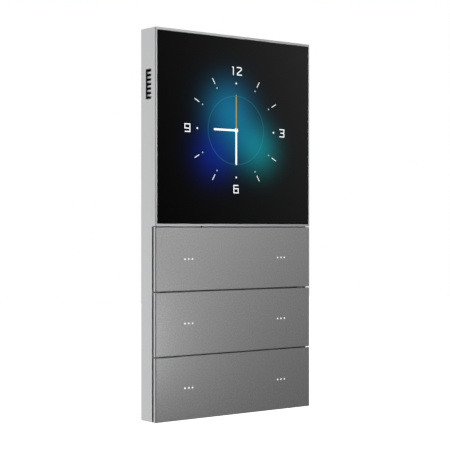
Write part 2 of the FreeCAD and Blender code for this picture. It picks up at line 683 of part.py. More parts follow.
def power_case():
    """The closed compartment that enters the wall box, with a shoulder and four clips for the cover."""
    inside = tuple(size - 2 * CASE_WALL for size in CASE)
    front = COVER_DEPTHS[0]
    case = rounded(CASE, (front, CASE_DEPTHS[1]), CASE_CORNER)
    case = case.makeChamfer(CASE_CORNER / 2, edges_at_depth(case, CASE_DEPTHS[1]))
    shoulder_size = tuple(size + 2 * CASE_SHOULDER for size in CASE)
    shoulder = rounded(shoulder_size, (COVER_DEPTHS[1], PANEL_DEPTH), CASE_CORNER)
    clips = []
    for side in (-1, 1):
        x = sorted((side * (CASE[0] / 2 - CASE_WALL), side * (CASE[0] / 2 + CASE_CLIP[0])))
        for end in (-1, 1):
            clips.append(block(x, (CASE_DEPTHS[0], front), around(end * CASE_CLIP_Z, CASE_CLIP[1])))
    posts = [rod(BOARD_BOSS_RADIUS, (POWER_BOARD_DEPTHS[1], CASE_DEPTHS[1] - CASE_WALL), x, z)
             for x, z in POWER_SCREW_PLACES]
    hollow = slab(inside, (front - THROUGH, CASE_DEPTHS[1] - CASE_WALL))
    shell = fuse([fuse([case, shoulder] + clips).cut(hollow)] + posts)
    cuts = [rod(BOARD_SCREW[0], (POWER_BOARD_DEPTHS[1], POWER_BOARD_DEPTHS[1] + 4.0), x, z)
            for x, z in POWER_SCREW_PLACES]
    return shell.cut(cuts + [terminal_window()])


def terminal_window():
    """The opening in the compartment's end wall for the bus terminal."""
    deep = (CASE_DEPTHS[1] - CASE_WALL - THROUGH, CASE_DEPTHS[1] + THROUGH)
    return slab(TERMINAL_WINDOW, deep, z=TERMINAL_Z)


def lock_tab_notch():
    """Room at the cover's lower edge for the bracket's tab and the lock screw."""
    deep = (COVER_DEPTHS[0] - THROUGH, COVER_RIB_END + THROUGH)
    return block(around(0, LOCK_NOTCH[0]), deep, (-INNER_Z - THROUGH, -INNER_Z + LOCK_NOTCH[1]))


def hook_slots():
    """The two slots that hang on the bracket's hooks."""
    deep = (COVER_DEPTHS[0] - THROUGH, COVER_DEPTHS[1] + THROUGH)
    return [slab(HOOK_SLOT, deep, x=side * HOOK_X, z=HOOK_SLOT_Z) for side in (-1, 1)]


def rear_cover_screws():
    """The screws that hold the rear cover to the chassis."""
    return group([screw(COVER_SCREW, COVER_DEPTHS[1], FLANGE_DEPTHS[0] + 0.4, x, z)
                  for x, z in both_sides(COVER_SCREW_X, COVER_SCREW_Z)])


def power_board():
    """The supply board in the wall-box compartment."""
    board = slab(POWER_BOARD, POWER_BOARD_DEPTHS)
    return board.cut(screw_holes(BOARD_SCREW, POWER_BOARD_DEPTHS, POWER_SCREW_PLACES))


def power_inductor():
    """The wound inductor: a drum between two flanges."""
    foot = POWER_BOARD_DEPTHS[1]
    drum_radius, flange_radius = INDUCTOR_RADII
    drum = rod(drum_radius, (foot, foot + INDUCTOR_HEIGHT), *INDUCTOR_PLACE)
    flanges = [rod(flange_radius, (start, start + 1.0), *INDUCTOR_PLACE)
               for start in (foot, foot + INDUCTOR_HEIGHT - 1.0)]
    return fuse([drum] + flanges)


def power_capacitors():
    """Two can capacitors."""
    foot = POWER_BOARD_DEPTHS[1]
    radius, height = CAPACITOR
    return group([rod(radius, (foot, foot + height), x, z) for x, z in CAPACITOR_PLACES])


def link_places():
    """Where the pins are along the link between the power board and the key board."""
    return [(i - (LINK_PINS - 1) / 2) * LINK_PITCH for i in range(LINK_PINS)]


def link_socket():
    """The tall socket strip on the key board's rear."""
    depths = (KEY_BOARD_DEPTHS[1], HEADER_DEPTHS[0])
    body = slab((LINK_PINS * LINK_PITCH, LINK_STRIP), depths, z=LINK_Z)
    holes = [slab((LINK_HOLE, LINK_HOLE), (LINK_HOLE_END, depths[1] + THROUGH), x=x, z=LINK_Z)
             for x in link_places()]
    return body.cut(holes)


def link_header():
    """The pin strip on the power board's front."""
    body = slab((LINK_PINS * LINK_PITCH, LINK_STRIP), HEADER_DEPTHS, z=LINK_Z)
    pins = [slab((LINK_PIN, LINK_PIN), (LINK_PIN_TIP, HEADER_DEPTHS[1]), x=x, z=LINK_Z)
            for x in link_places()]
    return fuse([body] + pins)


def bus_pins():
    """The two pins that the bus terminal plugs onto."""
    depths = (POWER_BOARD_DEPTHS[1], BUS_PIN_TIP)
    return group([rod(BUS_PIN_RADIUS, depths, side * TERMINAL[0] / 2, TERMINAL_Z) for side in (-1, 1)])


def bus_terminal(side):
    """One half of the plug-in bus terminal, with four wire holes in its rear face."""
    x = side * TERMINAL[0] / 2
    body = slab(TERMINAL, TERMINAL_DEPTHS, x=x, z=TERMINAL_Z)
    rear = TERMINAL_DEPTHS[1] + THROUGH
    wire_holes = [rod(WIRE_HOLE_RADIUS, (WIRE_HOLE_START, rear), x + dx, TERMINAL_Z + dz)
                  for dx, dz in WIRE_HOLES]
    pin_depths = (TERMINAL_DEPTHS[0] - THROUGH, BUS_PIN_TIP + 1.0)
    pin_hole = rod(BUS_PIN_RADIUS + PIN_CLEARANCE, pin_depths, x, TERMINAL_Z)
    return body.cut(wire_holes + [pin_hole])


# ---------------------------------------------------------------- wall bracket


def slot_hole(x, depths):
    """A slot along X, for one wall-box screw."""
    radius, length = BOX_SCREW_SLOT
    reach = length / 2 - radius
    deep = (depths[0] - THROUGH, depths[1] + THROUGH)
    ends = [rod(radius, deep, x + side * reach, 0) for side in (-1, 1)]
    return fuse(ends + [slab((2 * reach, 2 * radius), deep, x=x)])


def bracket_arm(width, z):
    """A rounded arm of the bracket."""
    return rounded((width, z[1] - z[0]), BRACKET_DEPTHS, BRACKET_CORNER * 0.75, z=sum(z) / 2)


def bracket_hooks():
    """The two hooks bent forward through the rear cover's slots."""
    low, top, lip_top = HOOK_Z
    hooks = []
    for side in (-1, 1):
        across = around(side * HOOK_X, HOOK_WIDTH)
        hooks.append(block(across, (HOOK_FRONT, BRACKET_DEPTHS[1]), (low, top)))
        hooks.append(block(across, (HOOK_FRONT, HOOK_FRONT + HOOK_LIP), (low, lip_top)))
    return hooks


def wall_bracket():
    """The steel plate screwed to the wall box, with two hooks above and the lock tab below."""
    opening = tuple(size + 2 * CASE_SHOULDER + BRACKET_OPENING_MARGIN for size in CASE)
    deep = (BRACKET_DEPTHS[0] - THROUGH, BRACKET_DEPTHS[1] + THROUGH)
    frame_edge = BRACKET_FRAME[1] / 2
    end = BRACKET_TONGUE_END
    tab_front, tab_thickness = BRACKET_TAB
    pieces = [
        rounded(BRACKET_FRAME, BRACKET_DEPTHS, BRACKET_CORNER),
        bracket_arm(BRACKET_ARM_WIDTH, (frame_edge - BRACKET_CORNER, BRACKET_ARM_REACH)),
        bracket_arm(BRACKET_ARM_WIDTH, (-BRACKET_ARM_REACH, -frame_edge + BRACKET_CORNER)),
        block(around(0, BRACKET_TONGUE_WIDTH), BRACKET_DEPTHS, (end, -BRACKET_ARM_REACH + 1)),
        block(around(0, BRACKET_TONGUE_WIDTH), (tab_front, BRACKET_DEPTHS[1]), (end, end + tab_thickness)),
    ]
    cuts = [rounded(opening, deep, CASE_CORNER)]
    cuts += [slot_hole(side * BOX_SCREW_SPACING / 2, BRACKET_DEPTHS) for side in (-1, 1)]
    cuts += [rod(PLUG_SCREW_RADIUS, deep, 0, side * PLUG_SCREW_SPACING / 2) for side in (-1, 1)]
    cuts.append(rod_up(LOCK_RADIUS, 0, LOCK_DEPTH, around(end, 2 * tab_thickness + THROUGH)))
    return fuse(pieces + bracket_hooks()).cut(cuts)


def lock_screw():
    """The countersunk screw that locks the panel to the bracket from below."""
    head_bottom = BOTTOM + 0.1
    shank = rod_up(LOCK_RADIUS, 0, LOCK_DEPTH, (head_bottom + 0.5, BRACKET_TONGUE_END + 2.5))
    start = Vector(0, LOCK_DEPTH - PANEL_DEPTH, head_bottom)
    head = Part.makeCone(LOCK_HEAD_RADIUS, LOCK_RADIUS, LOCK_HEAD_HEIGHT, start, Vector(0, 0, 1))
    socket = rod_up(LOCK_RADIUS * 0.6, 0, LOCK_DEPTH, (BOTTOM, BOTTOM + LOCK_HEAD_HEIGHT * 0.7))
    return fuse([shank, head]).cut(socket)


# ---------------------------------------------------------------- rocker keys


def legend_places():
    """The six light dots across a key."""
    return [side * LEGEND_X + i * LEGEND_PITCH for side in (-1, 1) for i in (-1, 0, 1)]


def key_cap(number):
    """The aluminium face of a key. The first one reaches nearer the display and is notched for the pinhole."""
    z = key_centre(number)
    low, high = around(z, KEY_PITCH - KEY_GAP)
    if number == 1:
        high = KEY_ZONE_TOP - TOP_GAP
    cap = block((-HALF_W, HALF_W), (0, CAP_THICKNESS), (low, high))
    cap = cap.makeChamfer(CAP_EDGE, edges_at_depth(cap, 0))
    deep = (-THROUGH, CAP_THICKNESS + THROUGH)
    holes = [rod(LEGEND_RADIUS, deep, x, z) for x in legend_places()]
    if number == 1:
        holes.append(rod(NOTCH_RADIUS, deep, RESET_X, RESET_Z))
    return cap.cut(holes)


def key_carrier(number):
    """The moulded rocker behind a cap: pivot bosses, stiffening ribs and two press ribs."""
    z = key_centre(number)
    back = CARRIER_BACK
    pieces = [slab(CARRIER, (CAP_THICKNESS, back), z=z)]
    cuts = [rod_up(PIN_RADIUS + PIN_CLEARANCE, 0, PIN_DEPTH, around(z, KEY_WINDOW[1]))]
    for side in (-1, 1):
        pieces.append(slab(CARRIER_BOSS, (back, CARRIER_BOSS_END), z=z + side * CARRIER_BOSS_OFFSET))
        pieces.append(slab(STIFFENER, (back, STIFFENER_END), z=z + side * STIFFENER_OFFSET))
        pieces.append(slab(PRESS_RIB, (back, PRESS_RIB_END), x=side * PRESS_X, z=z))
        cuts.append(slab(GUIDE_BAR, (CAP_THICKNESS - THROUGH, back + THROUGH), x=side * LEGEND_X, z=z))
    return fuse(pieces).cut(cuts)


def key_light_guides(number):
    """The two light guides, each a bar with three dots that reach the cap's face."""
    z = key_centre(number)
    guides = []
    for side in (-1, 1):
        x = side * LEGEND_X
        bar = slab(GUIDE_BAR, (CAP_THICKNESS, GUIDE_BAR_END), x=x, z=z)
        dots = [rod(LEGEND_RADIUS, (0, CAP_THICKNESS), x + i * LEGEND_PITCH, z) for i in (-1, 0, 1)]
        guides.append(fuse([bar] + dots))
    return group(guides)


def key_pivot_pin(number):
    """The steel pin that a key rocks on."""
    return rod_up(PIN_RADIUS, 0, PIN_DEPTH, around(key_centre(number), KEY_WINDOW[1] + 2 * PIN_SEAT))


def key_domes(number):
    """The two silicone domes that a key presses."""
    base = KEY_BOARD_DEPTHS[0]
    foot = base - DOME_SHEET_THICKNESS
    crown = PRESS_RIB_END + DOME_GAP
    inner_radii = tuple(radius - DOME_WALL for radius in DOME_RADII)
    domes = []
    for side in (-1, 1):
        place = (side * PRESS_X, key_centre(number))
        sheet = slab((DOME_SHEET, DOME_SHEET), (foot, base), *place)
        cone = taper(DOME_RADII, (crown, foot), *place)
        hollow = taper(inner_radii, (crown + DOME_CROWN, base + THROUGH), *place)
        domes.append(fuse([sheet, cone]).cut(hollow))
    return group(domes)


def all_nodes():
    """Every node's name and shape."""
    nodes = {
        "housing": housing(),
        "vent_duct": vent_duct(),
        "vent_grille": vent_grille(),
        "sensor_board": sensor_board(),
        "temperature_sensor": temperature_sensor(),
        "sensor_flex": sensor_flex(),
        "glass_lens": glass_lens(),
        "lens_gasket": lens_gasket(),
        "touch_sensor": touch_sensor(),
        "lcd_panel": lcd_panel(),
        "backlight_unit": backlight_unit(),
        "lcd_bezel": lcd_bezel(),
        "lcd_flex": lcd_flex(),
        "touch_flex": touch_flex(),
        "mid_frame": mid_frame(),
        "chassis_screws": chassis_screws(),
        "main_board": main_board(),
        "board_chips": board_chips(),
        "processor_shield": processor_shield(),
        "flex_connectors": flex_connectors(),
        "board_link": board_link(),
        "board_screws": board_screws(),
        "key_board": key_board(),
        "key_leds": key_leds(),
        "reset_switch": reset_switch(),
        "reset_plunger": reset_plunger(),
        "rear_cover": rear_cover(),
        "rear_cover_screws": rear_cover_screws(),
        "power_case": power_case(),
        "power_board": power_board(),
        "power_inductor": power_inductor(),
        "power_capacitors": power_capacitors(),
        "link_socket": link_socket(),
        "link_header": link_header(),
        "bus_pins": bus_pins(),
        "bus_terminal_plus": bus_terminal(1),
        "bus_terminal_minus": bus_terminal(-1),
        "wall_bracket": wall_bracket(),
        "lock_screw": lock_screw(),
    }
    for number in range(1, KEY_COUNT + 1):
        nodes[f"key_{number}_cap"] = key_cap(number)
        nodes[f"key_{number}_carrier"] = key_carrier(number)
        nodes[f"key_{number}_light_guides"] = key_light_guides(number)
        nodes[f"key_{number}_pivot_pin"] = key_pivot_pin(number)
        nodes[f"key_{number}_domes"] = key_domes(number)
    return nodes


os.makedirs("parts", exist_ok=True)
for name, shape in all_nodes().items():
    shape.exportStep(f"parts/{name}.step")
    print(name, "valid" if shape.isValid() else "INVALID", len(shape.Solids), round(shape.Volume, 1))
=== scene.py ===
"""The looks of a wall-mounted touch panel: its materials, the clock on its display, the light and the camera.

Everything is in metres. +Z is up and the front of the panel faces -Y.
"""

import json
import math

import bmesh
import bpy
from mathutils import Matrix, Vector


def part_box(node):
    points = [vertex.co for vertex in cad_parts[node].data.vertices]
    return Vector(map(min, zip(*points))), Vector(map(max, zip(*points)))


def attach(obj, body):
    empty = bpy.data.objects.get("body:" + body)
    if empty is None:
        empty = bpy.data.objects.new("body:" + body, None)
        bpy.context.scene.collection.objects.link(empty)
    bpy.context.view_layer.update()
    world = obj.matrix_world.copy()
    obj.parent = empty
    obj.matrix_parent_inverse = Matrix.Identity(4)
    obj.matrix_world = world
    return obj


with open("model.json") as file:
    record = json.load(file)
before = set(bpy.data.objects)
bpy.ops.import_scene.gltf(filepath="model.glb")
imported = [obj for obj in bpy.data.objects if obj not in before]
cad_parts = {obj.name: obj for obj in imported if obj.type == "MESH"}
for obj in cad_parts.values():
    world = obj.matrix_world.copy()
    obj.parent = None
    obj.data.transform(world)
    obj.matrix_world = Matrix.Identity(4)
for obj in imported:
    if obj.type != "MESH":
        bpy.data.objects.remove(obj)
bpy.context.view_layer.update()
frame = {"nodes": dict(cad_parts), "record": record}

MM = 0.001


# ---------------------------------------------------------------- node helpers


EVEN = (1.0, 1.0, 1.0)


class Nodes:
    """Short ways to add nodes to a tree."""

    def __init__(self, tree):
        self.tree = tree

    def node(self, kind, inputs=(), **settings):
        """A new node. inputs holds (socket, value or output) pairs."""
        made = self.tree.nodes.new(kind)
        for name, value in settings.items():
            setattr(made, name, value)
        for socket, value in inputs:
            self.put(made.inputs[socket], value)
        return made

    def put(self, socket, value):
        """Gives a socket a value, or joins an output to it."""
        if isinstance(value, bpy.types.NodeSocket):
            self.tree.links.new(value, socket)
        else:
            socket.default_value = value

    def maths(self, operation, *values):
        """The result of a maths node."""
        return self.node("ShaderNodeMath", enumerate(values), operation=operation).outputs[0]

    def vectors(self, operation, *values):
        """The outputs of a vector maths node, which are called Vector and Value."""
        return self.node("ShaderNodeVectorMath", enumerate(values), operation=operation).outputs

    def scaled(self, vector, factor):
        """A vector made longer or shorter."""
        return self.node("ShaderNodeVectorMath", [(0, vector), ("Scale", factor)], operation="SCALE").outputs[0]

    def part(self, vector, axis):
        """The X, Y or Z part of a vector."""
        return self.node("ShaderNodeSeparateXYZ", [(0, vector)]).outputs[axis]


class Shader(Nodes):
    """A material with a Principled surface. Its place is the point on the object."""

    def __init__(self, name, **values):
        self.material = bpy.data.materials.new(name)
        self.material.use_nodes = True
        super().__init__(self.material.node_tree)
        self.surface = self.tree.nodes["Principled BSDF"]
        for socket, value in values.items():
            self.surface.inputs[socket.replace("_", " ")].default_value = value
        self.place = self.node("ShaderNodeTexCoord").outputs["Object"]

    def stretched(self, stretch):
        """The place, scaled so that a pattern is drawn out along an axis by stretch."""
        return self.vectors("MULTIPLY", self.place, [1 / s for s in stretch])["Vector"]

    def noise(self, size, detail=2.0, stretch=EVEN):
        """Noise from 0 to 1 whose lumps are about size across."""
        inputs = [("Vector", self.stretched(stretch)), ("Scale", 1 / size), ("Detail", detail)]
        return self.node("ShaderNodeTexNoise", inputs).outputs["Fac"]

    def cells(self, size, stretch=EVEN):
        """A random level for each cell of a broken-up pattern."""
        inputs = [("Vector", self.stretched(stretch)), ("Scale", 1 / size)]
        cells = self.node("ShaderNodeTexVoronoi", inputs)
        return self.node("ShaderNodeSeparateColor", [(0, cells.outputs["Color"])]).outputs[0]

    def waves(self, axis, pitch):
        """Ripples from -1 to 1 that follow each other along an axis."""
        turns = self.maths("MULTIPLY", self.part(self.place, axis), 2 * math.pi / pitch)
        return self.maths("SINE", turns)

    def span(self, value, low, high, start=0.3, stop=0.7):
        """value's range from start to stop, turned into low to high."""
        inputs = [("Value", value), ("From Min", start), ("From Max", stop),
                  ("To Min", low), ("To Max", high)]
        return self.node("ShaderNodeMapRange", inputs).outputs[0]

    def rise(self, value, start, stop):
        """0 where value is below start, and 1 where it is above stop."""
        return self.span(value, 0.0, 1.0, start, stop)

    def blend(self, factor, first, second):
        """The colour between first and second."""
        mix = self.node("ShaderNodeMix", data_type="RGBA")
        sockets = {s.identifier: s for s in mix.inputs}
        self.put(sockets["Factor_Float"], factor)
        self.put(sockets["A_Color"], first)
        self.put(sockets["B_Color"], second)
        return next(s for s in mix.outputs if s.identifier == "Result_Color")

    def bump(self, height, depth):
        """Raises the surface by up to depth where height is 1."""
        made = self.node("ShaderNodeBump", [("Height", height), ("Distance", depth), ("Strength", 1.0)])
        self.put(self.surface.inputs["Normal"], made.outputs["Normal"])

    def colour(self, output):
        self.put(self.surface.inputs["Base Color"], output)

    def roughness(self, output):
        self.put(self.surface.inputs["Roughness"], output)


def grey(level):
    return (level, level, level, 1.0)


def shade(colour, factor):
    """A colour made lighter or darker."""
    return tuple(part * factor for part in colour[:3]) + (1.0,)


# ---------------------------------------------------------------- materials


# Metal of the housing and the key faces: the ends are the caps' left and right ones, whose bevels get a painted
# dark reflection and whose end faces get a painted highlight
METAL_SHARE = 0.8
END_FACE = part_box("key_1_cap")[1].x
BEVEL_SHADE_WIDTH = 0.25 * MM
END_LIGHT_WIDTH = 0.02 * MM
EDGE_SOFTNESS = 0.01 * MM
# How far from the reset plunger's axis black is painted as shade in and round its hole
PINHOLE_SHADE_RADIUS = 0.45 * MM

# The cover glass: its darkest and palest grey, and how it reflects
GLASS_DARKEST = 0.0002
GLASS_PALEST = 0.0004
GLASS_SHINE = 1.0
GLASS_INDEX = 1.5
GLASS_ROUGHNESS = 0.03

# Soft spots of light on the display: place across and up, reach, and colour
GLOW_SPOTS = [
    ((-4.4, 50.1), 11.1, (0.002, 0.129, 0.25)),
    ((5.4, 38.1), 10.5, (0.0, 0.103, 0.158)),
    ((-11.6, 31.2), 10.0, (0.0, 0.01, 0.182)),
    ((13.7, 32.8), 9.3, (0.0, 0.121, 0.13)),
]


def pinhole_painted_shade(shader):
    """0 within the painted shade radius of the reset plunger's axis, where black is painted as the shade in the
    reset button's hole and round its mouth, and 1 elsewhere.
    """
    low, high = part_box("reset_plunger")
    away = shader.vectors("SUBTRACT", shader.place, (low + high) / 2)["Vector"]
    flat = shader.vectors("MULTIPLY", away, (1.0, 0.0, 1.0))["Vector"]
    distance = shader.vectors("LENGTH", flat)["Value"]
    return shader.rise(distance, PINHOLE_SHADE_RADIUS, PINHOLE_SHADE_RADIUS + 2 * EDGE_SOFTNESS)


def blasted_metal(name, colour, rough, grain, contrast, painted_end_light=None):
    """Bead-blasted and anodised aluminium: fine grain in its colour, sheen and surface. The optional end
    colours are
    painted light at the left and right ends: a painted dark reflection on the bevels and a painted highlight on
    the faces. Black is painted as shade in and round the reset button's hole."""
    shader = Shader(name, Metallic=METAL_SHARE)
    fine = shader.noise(grain, detail=3.0)
    broad = shader.span(shader.noise(60 * grain, detail=1.0), 0.0, 0.3)
    face = shader.blend(fine, shade(colour, 1 - contrast), shade(colour, 1 + contrast))
    face = shader.blend(broad, face, shade(colour, 1))
    if painted_end_light:
        out = shader.maths("ABSOLUTE", shader.part(shader.place, "X"))
        # Painted light at both ends: a dark band for the bevel's reflection, then a pale band for the lit end
        # face
        for inset, painted_end_tone in zip((BEVEL_SHADE_WIDTH, END_LIGHT_WIDTH), painted_end_light):
            start = END_FACE - inset
            face = shader.blend(shader.rise(out, start, start + EDGE_SOFTNESS), face, shade(painted_end_tone, 1))
    # Painted shade: black in and round the reset button's hole
    shader.colour(shader.blend(pinhole_painted_shade(shader), grey(0.004), face))
    shader.roughness(shader.span(fine, rough - 0.04, rough + 0.04))
    shader.bump(fine, 0.006 * MM)
    return shader.material


def sheet_metal(name, colour, rough):
    """Plated sheet: broad soft spangles, and faint rolling marks along X."""
    shader = Shader(name, Metallic=1.0)
    spangle = shader.cells(4 * MM)
    marks = shader.noise(0.3 * MM, detail=3.0, stretch=(30.0, 1.0, 1.0))
    dull = shader.maths("MULTIPLY", spangle, marks)
    shader.colour(shader.blend(spangle, shade(colour, 0.9), shade(colour, 1.06)))
    shader.roughness(shader.span(dull, rough - 0.05, rough + 0.1, 0.0, 0.6))
    shader.bump(marks, 0.004 * MM)
    return shader.material


def moulded(name, colour, rough=0.5, texture=0.25 * MM, depth=0.012 * MM):
    """Moulded plastic with a fine eroded texture."""
    shader = Shader(name)
    fine = shader.noise(texture, detail=3.0)
    broad = shader.noise(12 * MM)
    shader.colour(shader.blend(broad, shade(colour, 0.92), shade(colour, 1.08)))
    shader.roughness(shader.span(fine, rough - 0.07, rough + 0.07))
    shader.bump(fine, depth)
    return shader.material


def printed_board(name):
    """Glass-fibre board: green mask over darker gaps between its copper areas."""
    shader = Shader(name, Coat_Weight=0.3, Coat_Roughness=0.15)
    over_copper = shader.rise(shader.cells(2.2 * MM, stretch=(2.5, 1.0, 1.0)), 0.42, 0.48)
    shader.colour(shader.blend(over_copper, (0.006, 0.06, 0.025, 1.0), (0.014, 0.14, 0.055, 1.0)))
    shader.roughness(shader.span(shader.noise(0.4 * MM), 0.32, 0.42))
    shader.bump(over_copper, 0.02 * MM)
    return shader.material


def ribbon(name):
    """Flat lead: amber film over fine copper tracks that run up it."""
    shader = Shader(name)
    track = shader.rise(shader.waves("X", 0.5 * MM), -0.2, 0.2)
    shader.colour(shader.blend(track, (0.16, 0.07, 0.01, 1.0), (0.42, 0.22, 0.05, 1.0)))
    shader.roughness(shader.span(shader.noise(1.5 * MM), 0.28, 0.4))
    shader.bump(track, 0.01 * MM)
    return shader.material


def milky(name, colour, glow):
    """Light-guide plastic. Most of what is seen of it is the light from behind."""
    shader = Shader(name, Roughness=0.3, Emission_Color=colour, Emission_Strength=glow)
    cloud = shader.noise(0.6 * MM)
    shader.colour(shader.blend(cloud, shade(colour, 0.46), shade(colour, 0.5)))
    shader.bump(cloud, 0.004 * MM)
    return shader.material


def silicone(name):
    shader = Shader(name, Roughness=0.45, Subsurface_Weight=0.25, Subsurface_Scale=1 * MM)
    shader.colour(shader.blend(shader.noise(1.2 * MM), grey(0.62), grey(0.72)))
    shader.bump(shader.noise(0.15 * MM), 0.003 * MM)
    return shader.material


def foam(name):
    shader = Shader(name)
    pores = shader.noise(0.25 * MM, detail=4.0)
    shader.colour(shader.blend(pores, grey(0.01), grey(0.04)))
    shader.roughness(shader.span(pores, 0.8, 0.95))
    shader.bump(pores, 0.06 * MM)
    return shader.material


def capacitor(name):
    """Bare can top, with a dark sleeve round the rest."""
    shader = Shader(name, Roughness=0.35)
    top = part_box("power_capacitors")[1].y
    bare = shader.rise(shader.part(shader.place, "Y"), top - 0.45 * MM, top - 0.4 * MM)
    brushed = shader.noise(0.2 * MM, stretch=(6.0, 1.0, 1.0))
    can = shader.blend(brushed, grey(0.5), grey(0.62))
    shader.colour(shader.blend(bare, (0.012, 0.014, 0.03, 1.0), can))
    shader.put(shader.surface.inputs["Metallic"], bare)
    return shader.material


def inductor(name):
    """Ferrite flanges, 1 mm thick, with copper wire wound between them."""
    shader = Shader(name)
    low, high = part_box("power_inductor")
    offset = shader.maths("SUBTRACT", shader.part(shader.place, "Y"), (low.y + high.y) / 2)
    reach = (high.y - low.y) / 2 - 1 * MM
    ferrite = shader.rise(shader.maths("ABSOLUTE", offset), reach - EDGE_SOFTNESS, reach + EDGE_SOFTNESS)
    wire = shader.rise(shader.waves("Y", 0.4 * MM), -1.0, 1.0)
    copper = shader.blend(wire, (0.12, 0.035, 0.012, 1.0), (0.55, 0.2, 0.07, 1.0))
    shader.colour(shader.blend(ferrite, copper, grey(0.025)))
    shader.roughness(shader.span(ferrite, 0.35, 0.7, 0.0, 1.0))
    shader.bump(wire, 0.03 * MM)
    return shader.material


def soft_spot(shader, centre, reach, colour):
    """A round spot that fades smoothly outwards."""
    flat = shader.vectors("MULTIPLY", shader.place, (1.0, 0.0, 1.0))["Vector"]
    away = shader.vectors("SUBTRACT", flat, centre)["Vector"]
    share = shader.scaled(away, 1 / reach)
    square = shader.vectors("DOT_PRODUCT", share, share)["Value"]
    fade = shader.maths("EXPONENT", shader.maths("MULTIPLY", square, -1.0))
    return shader.scaled(colour, fade)


def glow(shader, extra=(0.0, 0.0, 0.0)):
    """The picture's glow, with extra light added evenly."""
    total = extra
    for (x, z), reach, colour in GLOW_SPOTS:
        spot = soft_spot(shader, (x * MM, 0.0, z * MM), reach * MM, colour)
        total = shader.vectors("ADD", total, spot)["Vector"]
    shader.put(shader.surface.inputs["Emission Color"], total)


def display_glass(name):
    """Black cover glass with the picture's blue and teal glow behind it."""
    shader = Shader(name, Roughness=GLASS_ROUGHNESS, IOR=GLASS_INDEX, Specular_IOR_Level=GLASS_SHINE,
                    Emission_Strength=1.0)
    shader.colour(shader.blend(shader.noise(8 * MM), grey(GLASS_DARKEST), grey(GLASS_PALEST)))
    glow(shader)
    return shader.material


def glowing_line(name, extra):
    """A line of the picture that is only a little brighter than the glow round it."""
    shader = Shader(name, Base_Color=grey((GLASS_DARKEST + GLASS_PALEST) / 2), Roughness=GLASS_ROUGHNESS,
                    IOR=GLASS_INDEX, Specular_IOR_Level=GLASS_SHINE, Emission_Strength=1.0)
    glow(shader, extra)
    return shader.material


def lit_mark(name, colour, strength=1.0):
    """A bright mark of the display's picture, broken up faintly by the display's dots."""
    shader = Shader(name, Base_Color=grey(0.0), Roughness=0.1, Specular_IOR_Level=0.0,
                    Emission_Strength=strength)
    dots = shader.noise(0.12 * MM, detail=0.0)
    light = shader.blend(dots, shade(colour, 0.95), shade(colour, 1.0))
    shader.put(shader.surface.inputs["Emission Color"], light)
    return shader.material


# The finish of each material slot in the record
FINISHES = {
    "housing_aluminium": blasted_metal("housing_aluminium", (0.72, 0.725, 0.73), 0.4, 0.3 * MM, 0.03),
    # The keys' end colours are painted light: a dark reflection on the end bevels and a highlight on the end
    # faces
    "key_aluminium": blasted_metal("key_aluminium", (0.53, 0.53, 0.535), 0.4, 0.6 * MM, 0.4,
                                   painted_end_light=((0.08, 0.08, 0.08), (0.66, 0.66, 0.67))),
    "front_glass": display_glass("front_glass"),
    "screen": moulded("screen", (0.02, 0.05, 0.07), rough=0.2, depth=0.002 * MM),
    "chassis_plastic": moulded("chassis_plastic", (0.06, 0.06, 0.062)),
    "cover_plastic": moulded("cover_plastic", (0.03, 0.03, 0.032), depth=0.02 * MM),
    "black_plastic": moulded("black_plastic", (0.008, 0.008, 0.008), rough=0.45),
    "red_plastic": moulded("red_plastic", (0.4, 0.015, 0.01), rough=0.4),
    "light_guide": milky("light_guide", (0.92, 0.93, 0.94, 1.0), 0.7),
    "silicone": silicone("silicone"),
    "foam": foam("foam"),
    "bracket_steel": sheet_metal("bracket_steel", (0.6, 0.61, 0.62), 0.35),
    "screw_steel": sheet_metal("screw_steel", (0.55, 0.55, 0.56), 0.3),
    "tinned_sheet": sheet_metal("tinned_sheet", (0.7, 0.7, 0.69), 0.3),
    "circuit_board": printed_board("circuit_board"),
    "chip": moulded("chip", (0.012, 0.012, 0.014), rough=0.55, texture=0.1 * MM, depth=0.004 * MM),
    "flat_lead": ribbon("flat_lead"),
    "capacitor_can": capacitor("capacitor_can"),
    "lamp": milky("lamp", (0.95, 0.9, 0.7, 1.0), 0.4),
}

for row in frame["record"]["subparts"]:
    for slot in frame["nodes"][row["node"]].material_slots:
        slot.material = FINISHES[row["material_slot"]]
for slot in frame["nodes"]["power_inductor"].material_slots:
    slot.material = inductor("inductor")


# ---------------------------------------------------------------- the clock on the display


FACE_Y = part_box("glass_lens")[0].y
MARK_THICKNESS = 0.02 * MM
CLOCK = Vector((-0.15, 41.25)) * MM
STRETCH_X = 1.04

WHITE = (0.93, 0.95, 0.96, 1.0)
OFF_WHITE = (0.85, 0.88, 0.88, 1.0)
PALE = (0.3, 0.5, 0.52, 1.0)
TAN = (0.55, 0.34, 0.05, 1.0)
RING_EXTRA = (0.005, 0.055, 0.055)

# The dial's marks, in millimetres. Ends and lengths are from its centre
DOT_CIRCLE = 20.5
QUARTER_DOT = 0.39
HOUR_DOT = 0.36
TICK_ENDS = (22.5, 25.2)
TICK_WIDTH = 0.28
RING_RADIUS = 14.9
RING_WIDTH = 0.4
RING_POINTS = 96
HOUR_HAND = (-12.0, 0.88)
MINUTE_HAND = (-14.7, 0.92)
SECOND_HAND = (15.3, 0.5)
HUB_RADIUS = 1.0

